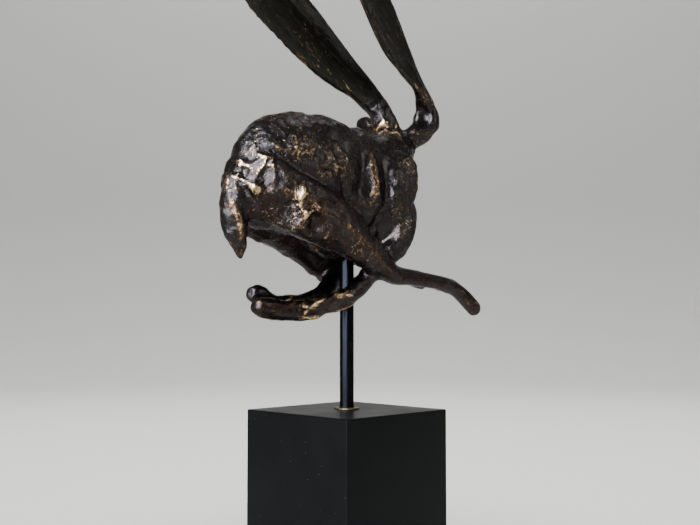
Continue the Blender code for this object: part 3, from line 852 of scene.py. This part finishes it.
class HARE_OT_make_stand(bpy.types.Operator):
    """Finishes the rod, its washer and the plinth"""
    bl_idname = "hare.make_stand"
    bl_label = "Make the stand"

    def execute(self, context):
        look = settings().stand
        finished_copy("rod", "steel_rod", blackened_steel(look), 0.25 * MM)
        finished_copy("washer", "brass_washer", dull_brass(look), 0.1 * MM)
        finished_copy("plinth", "lacquered_plinth", black_lacquer(look), look.edge_radius)
        return {"FINISHED"}


# The studio

class HARE_OT_set_stage(bpy.types.Operator):
    """Sets up the pale backdrop, soft lights and the camera"""
    bl_idname = "hare.set_stage"
    bl_label = "Set the stage"

    def execute(self, context):
        look = settings().stage
        self.add_backdrop(look)
        self.add_lights()
        self.add_camera()
        return {"FINISHED"}

    def add_backdrop(self, look):
        """A round floor that sweeps up into a wall all the way round."""
        bend = look.bend
        bend_steps = 16
        profile = [(0.0, 0.0), (look.reach - bend, 0.0)]
        for i in range(1, bend_steps + 1):
            turn = math.radians(90.0 * i / bend_steps)
            profile.append((look.reach - bend + bend * math.sin(turn), bend - bend * math.cos(turn)))
        profile.append((look.reach, look.height))
        bm = bmesh.new()
        corners = [bm.verts.new((across, 0.0, up)) for across, up in profile]
        edges = [bm.edges.new(pair) for pair in zip(corners, corners[1:])]
        bmesh.ops.spin(bm, geom=corners + edges, axis=(0, 0, 1), cent=(0, 0, 0), steps=96,
                       angle=math.radians(360.0))
        bmesh.ops.remove_doubles(bm, verts=bm.verts, dist=1 * MM)
        mesh = bpy.data.meshes.new("paper_sweep")
        bm.to_mesh(mesh)
        bm.free()
        mesh.shade_smooth()
        mesh.materials.append(pale_backdrop(look))
        piece_from(mesh, "paper_sweep")

    def add_lights(self):
        """A pale room, with panels for the gloss to reflect and lamps over the paper."""
        world = bpy.data.worlds.new("pale_room")
        bpy.context.scene.world = world
        world.use_nodes = True
        background = world.node_tree.nodes["Background"]
        background.inputs["Color"].default_value = (*srgb("#d3d6da"), 1.0)
        background.inputs["Strength"].default_value = 0.10
        # The window, its pane, the room and the skylight are seen in the gloss alone. The ceiling and
        # the wall wash light the matt paper alone
        hare = (0.0, 0.0, 0.28)
        self.add_lamp("window_left", (-1.6, -0.3, 1.2), (0.0, 0.0, 1.2), (2.3, 2.3), 390, "#e0e7f8",
                      diffuse=False)
        self.add_lamp("bright_pane", (-1.45, -0.35, 1.35), hare, (0.7, 0.6), 60, "#fffaf0", diffuse=False)
        self.add_lamp("room_right", (0.88, -1.52, 0.98), hare, (0.9, 0.8), 11, "#e8ecec", diffuse=False)
        self.add_lamp("skylight", (0.95, 0.24, 1.9), hare, (0.4, 0.4), 8, "#e8ecf4", diffuse=False)
        self.add_lamp("ceiling", (0.0, 0.0, 2.7), hare, (2.6, 2.6), 60, "#ffffff", glossy=False, spread=80)
        self.add_lamp("wall_wash", (0.7, 0.7, 2.1), (1.9, 1.9, 0.9), (1.8, 0.6), 28, "#ffffff", glossy=False)

    def add_lamp(self, name, place, aim, size, power, tint, diffuse=True, glossy=True, spread=180):
        """A rectangular panel of light that points at a place. The camera doesn't see it."""
        light = bpy.data.lights.new(name, "AREA")
        light.shape = "RECTANGLE"
        light.size, light.size_y = size
        light.energy = power
        light.color = srgb(tint)
        light.spread = math.radians(spread)
        lamp = bpy.data.objects.new(name, light)
        bpy.context.scene.collection.objects.link(lamp)
        lamp.visible_camera = False
        lamp.visible_diffuse = diffuse
        lamp.visible_glossy = glossy
        lamp.location = place
        lamp.rotation_euler = (Vector(aim) - Vector(place)).to_track_quat("-Z", "Y").to_euler()

    def add_camera(self):
        """The photo's angle, with the rod's column and the horizon's row where the photo has them."""
        distance = 0.727
        lens_pixels = 1018.0
        frame_width = 700.0
        plinth_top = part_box("plinth")[1].z
        height = plinth_top + 0.0668
        azimuth = math.radians(-45.0)
        rod_column = 346.8
        horizon_row = 315.0
        frame_height = 525.0
        place = Vector((math.sin(azimuth) * distance, -math.cos(azimuth) * distance, height))
        yaw = math.atan((rod_column - frame_width / 2) / lens_pixels)
        pitch = math.atan((horizon_row - frame_height / 2) / lens_pixels)
        camera = bpy.data.cameras.new("camera")
        camera.sensor_width = 36.0
        camera.lens = 36.0 * lens_pixels / frame_width
        body = bpy.data.objects.new("camera", camera)
        bpy.context.scene.collection.objects.link(body)
        body.location = place
        body.rotation_euler = (math.radians(90.0) + pitch, 0.0, azimuth + yaw)
        bpy.context.scene.camera = body


class HARE_PT_panel(bpy.types.Panel):
    """Lists the pieces and their settings"""
    bl_idname = "HARE_PT_panel"
    bl_label = "Bronze hare"
    bl_space_type = "VIEW_3D"
    bl_region_type = "UI"
    bl_category = "Hare"

    def draw(self, context):
        groups = context.scene.bronze_hare
        for title, operator, group in (("Hare", HARE_OT_cast_hare, groups.hare),
                                       ("Stand", HARE_OT_make_stand, groups.stand),
                                       ("Stage", HARE_OT_set_stage, groups.stage)):
            box = self.layout.box()
            box.label(text=title)
            for name in group.bl_rna.properties.keys():
                if name not in ("rna_type", "name"):
                    box.prop(group, name)
            box.operator(operator.bl_idname)


CLASSES = (HareSettings, StandSettings, StageSettings, BronzeHareSettings, HARE_OT_cast_hare,
           HARE_OT_make_stand, HARE_OT_set_stage, HARE_PT_panel)


def register():
    for cls in CLASSES:
        bpy.utils.register_class(cls)
    bpy.types.Scene.bronze_hare = PointerProperty(type=BronzeHareSettings)


def unregister():
    del bpy.types.Scene.bronze_hare
    for cls in reversed(CLASSES):
        bpy.utils.unregister_class(cls)


def main():
    register()
    bpy.ops.hare.cast_hare()
    bpy.ops.hare.make_stand()
    bpy.ops.hare.set_stage()


if __name__ == "__main__":
    main()
